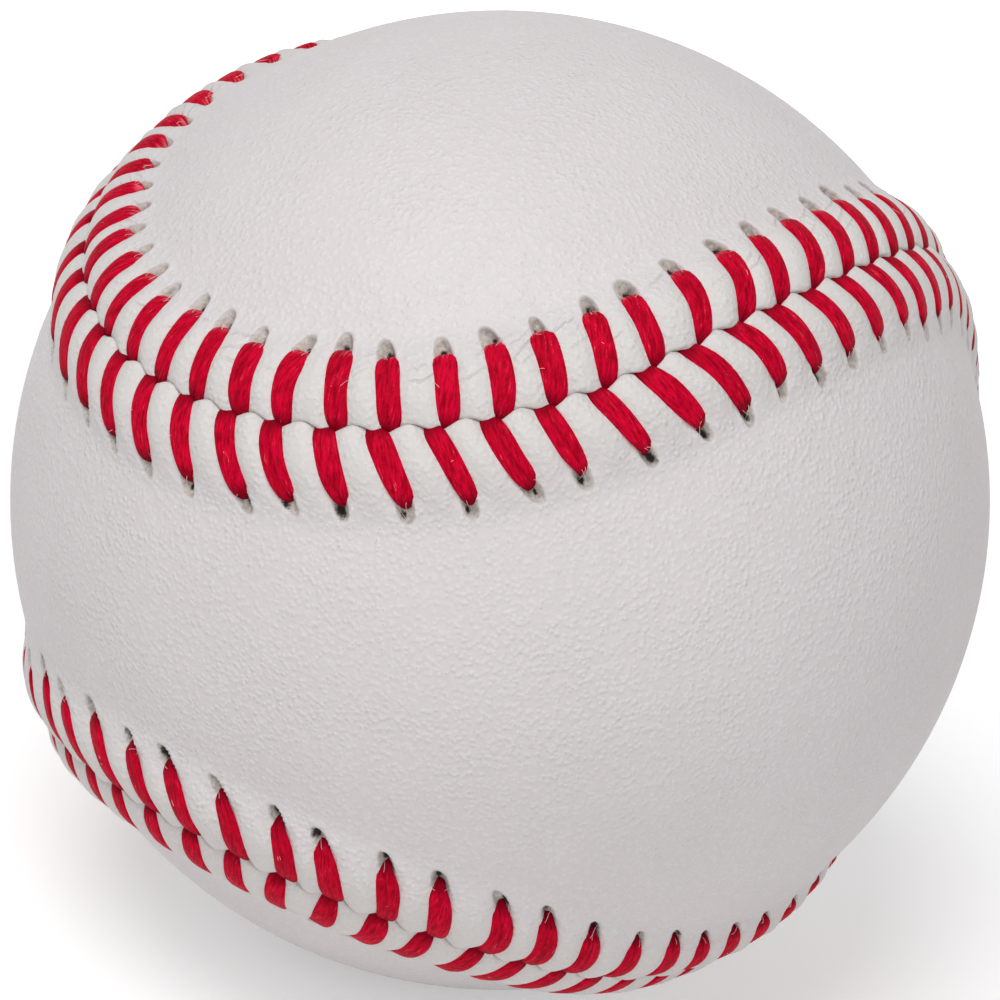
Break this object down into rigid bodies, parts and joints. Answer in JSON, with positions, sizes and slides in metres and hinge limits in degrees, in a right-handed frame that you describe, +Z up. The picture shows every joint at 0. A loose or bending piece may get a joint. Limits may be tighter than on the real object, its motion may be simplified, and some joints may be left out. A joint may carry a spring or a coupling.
{
  "type": "baseball",
  "caption": "Stitched leather ball with a cork and rubber centre, wool windings, interlocking cover panels and a raised red seam.",
  "frame": {"origin": "the ball's centre", "axes": "+X through the middle of one panel's waist and the axis of the cover's half-turn symmetry; +Z up through the middle of the other lobe of that panel; the other panel's lobes face +Y and -Y"},
  "size_m": [0.0739, 0.0738, 0.074],
  "materials": {
    "cork": "composition of ground cork and rubber, matt and speckled",
    "black_rubber": "moulded black rubber, satin",
    "red_rubber": "moulded red rubber, satin",
    "grey_wool": "grey wool yarn wound under tension",
    "white_wool": "white wool yarn wound under tension",
    "cotton_yarn": "fine white polyester and cotton finishing yarn",
    "cement": "dried rubber cement, thin and slightly shiny",
    "leather": "off-white tawed leather, fine pebbled grain, soft sheen",
    "red_thread": "waxed crimson cotton thread, slight sheen"
  },
  "bodies": {
    "root": {"cork_core": "cork", "core_shell_upper": "black_rubber", "core_shell_lower": "black_rubber", "core_washer": "red_rubber", "core_jacket": "red_rubber", "first_winding": "grey_wool", "second_winding": "white_wool", "third_winding": "grey_wool", "finishing_winding": "cotton_yarn", "adhesive_coat": "cement", "cover_panel_a": "leather", "cover_panel_b": "leather", "seam_thread_a": "red_thread", "seam_thread_b": "red_thread"}
  },
  "joints": []
}
